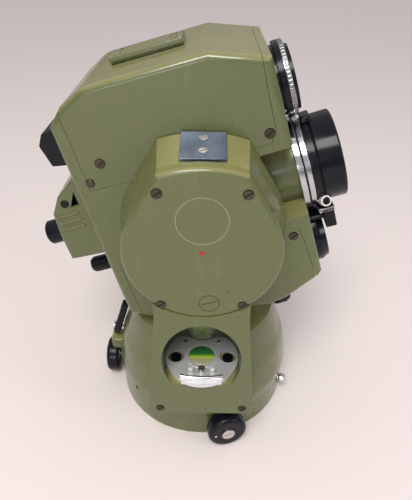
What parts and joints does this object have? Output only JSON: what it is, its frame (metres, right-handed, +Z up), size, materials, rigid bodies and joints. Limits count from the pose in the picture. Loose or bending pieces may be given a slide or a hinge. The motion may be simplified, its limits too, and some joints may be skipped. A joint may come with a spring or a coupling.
{
  "type": "theodolite",
  "caption": "Olive optical theodolite with a distance meter over its tilting telescope, on a rotating bell and a base with levelling knobs.",
  "frame": {"origin": "centre of the base on the table, on the vertical axis", "axes": "+Z up the vertical axis, +X the way the objective looks, +Y away from the circular level"},
  "size_m": [0.1919, 0.1575, 0.253],
  "materials": {
    "olive_enamel": "olive-green satin enamel",
    "black_enamel": "black satin enamel",
    "chrome": "polished chrome",
    "steel": "bright turned steel",
    "dark_screw": "browned slotted screws",
    "aluminium": "plain machined",
    "brass": "plain turned",
    "lens_glass": "coated optical glass",
    "circle_glass": "divided glass circle",
    "vial_glass": "green level vial",
    "red_mark": "red paint",
    "board_green": "circuit board"
  },
  "bodies": {
    "base": {"base_plate": "aluminium", "base_ring": "olive_enamel", "base_screws": "dark_screw", "stop_pin": "steel", "axis_bush": "brass", "horizontal_circle": "circle_glass"},
    "levelling_1": {"levelling_knob_1": "black_enamel", "levelling_shaft_1": "steel"},
    "levelling_2": {"levelling_knob_2": "black_enamel", "levelling_shaft_2": "steel"},
    "levelling_3": {"levelling_knob_3": "black_enamel", "levelling_shaft_3": "steel"},
    "alidade": {"bell_housing": "olive_enamel", "spindle": "steel", "near_standard": "olive_enamel", "front_panel": "olive_enamel", "far_standard": "olive_enamel", "near_cover": "olive_enamel", "far_cover": "olive_enamel", "cover_plug": "olive_enamel", "height_mark": "red_mark", "cover_screws": "dark_screw", "top_plate": "black_enamel", "top_plate_screws": "steel", "trunnion_bushes": "brass", "level_plate": "chrome", "level_vial": "vial_glass", "level_screws": "brass", "level_adjuster": "chrome", "clamp_housing": "olive_enamel", "clamp_pin": "steel"},
    "clamp_lever": {"clamp_lever": "black_enamel"},
    "tangent_knob": {"tangent_knob": "black_enamel"},
    "vertical_tangent_knob": {"vertical_tangent_knob": "black_enamel"},
    "vertical_clamp_knob": {"vertical_clamp_knob": "black_enamel"},
    "telescope": {"telescope_tube": "olive_enamel", "trunnions": "steel", "vertical_circle": "circle_glass", "objective_cell": "chrome", "objective_lens": "lens_glass", "sunshade": "black_enamel", "reticle_cell": "brass", "housing_frame": "olive_enamel", "upper_hood": "olive_enamel", "lower_hood": "olive_enamel", "hood_screws": "dark_screw", "circuit_board": "board_green", "accessory_bar": "olive_enamel", "bar_screws": "steel", "upper_optic_cell": "black_enamel", "upper_optic_ring": "chrome", "lower_optic_cell": "black_enamel", "meter_lenses": "lens_glass", "objective_bracket": "black_enamel", "eyepiece_box": "olive_enamel", "display_hood": "black_enamel"},
    "focus_ring": {"focus_ring": "black_enamel"},
    "focusing_lens": {"focusing_lens": "lens_glass"},
    "eyepiece": {"eyepiece": "black_enamel"},
    "signal_knob": {"signal_knob": "black_enamel"}
  },
  "joints": [
    {"name": "azimuth", "type": "hinge", "parent": "base", "child": "alidade", "pos_m": [0, 0, 0.05], "axis": [0, 0, 1], "continuous": true},
    {"name": "tilt", "type": "hinge", "parent": "alidade", "child": "telescope", "pos_m": [0, 0, 0.1622], "axis": [0, -1, 0], "range_deg": [-32, 16]},
    {"name": "horizontal_clamp", "type": "hinge", "parent": "alidade", "child": "clamp_lever", "pos_m": [-0.0625, 0, 0.043], "axis": [-0.9511, 0, 0.309], "range_deg": [-30, 30]},
    {"name": "horizontal_tangent", "type": "hinge", "parent": "alidade", "child": "tangent_knob", "pos_m": [0.05563, 0.02248, 0.06], "axis": [0.9272, 0.3746, 0], "range_deg": [-180, 180]},
    {"name": "vertical_tangent", "type": "hinge", "parent": "alidade", "child": "vertical_tangent_knob", "pos_m": [-0.015, 0.071, 0.092], "axis": [0, 1, 0], "range_deg": [-180, 180]},
    {"name": "vertical_clamp", "type": "hinge", "parent": "alidade", "child": "vertical_clamp_knob", "pos_m": [0.015, 0.071, 0.092], "axis": [0, 1, 0], "range_deg": [-60, 60]},
    {"name": "focus", "type": "hinge", "parent": "telescope", "child": "focus_ring", "pos_m": [-0.09014, 0, 0.13221], "axis": [0.9489, 0, 0.3156], "range_deg": [-150, 150]},
    {"name": "focusing_slide", "type": "slide", "parent": "telescope", "child": "focusing_lens", "axis": [0.9489, 0, 0.3156], "range_m": [-0.005, 0.005]},
    {"name": "dioptre", "type": "hinge", "parent": "telescope", "child": "eyepiece", "pos_m": [-0.09489, 0, 0.13064], "axis": [0.9489, 0, 0.3156], "range_deg": [-90, 90]},
    {"name": "signal_level", "type": "hinge", "parent": "telescope", "child": "signal_knob", "pos_m": [-0.06549, 0, 0.10564], "axis": [0.9489, 0, 0.3156], "range_deg": [-135, 135]},
    {"name": "levelling_1", "type": "hinge", "parent": "base", "child": "levelling_1", "pos_m": [0.01492, -0.05811, 0.014], "axis": [0.2487, -0.9686, 0], "range_deg": [-90, 90]},
    {"name": "levelling_2", "type": "hinge", "parent": "base", "child": "levelling_2", "pos_m": [-0.06, 0, 0.014], "axis": [-1, 0, 0], "range_deg": [-90, 90]},
    {"name": "levelling_3", "type": "hinge", "parent": "base", "child": "levelling_3", "pos_m": [0.03677, 0.04741, 0.014], "axis": [0.6129, 0.7902, 0], "range_deg": [-90, 90]}
  ],
  "couplings": [
    {"joint": "focusing_slide", "follows": "focus", "m_per_rad": 0.0019}
  ]
}
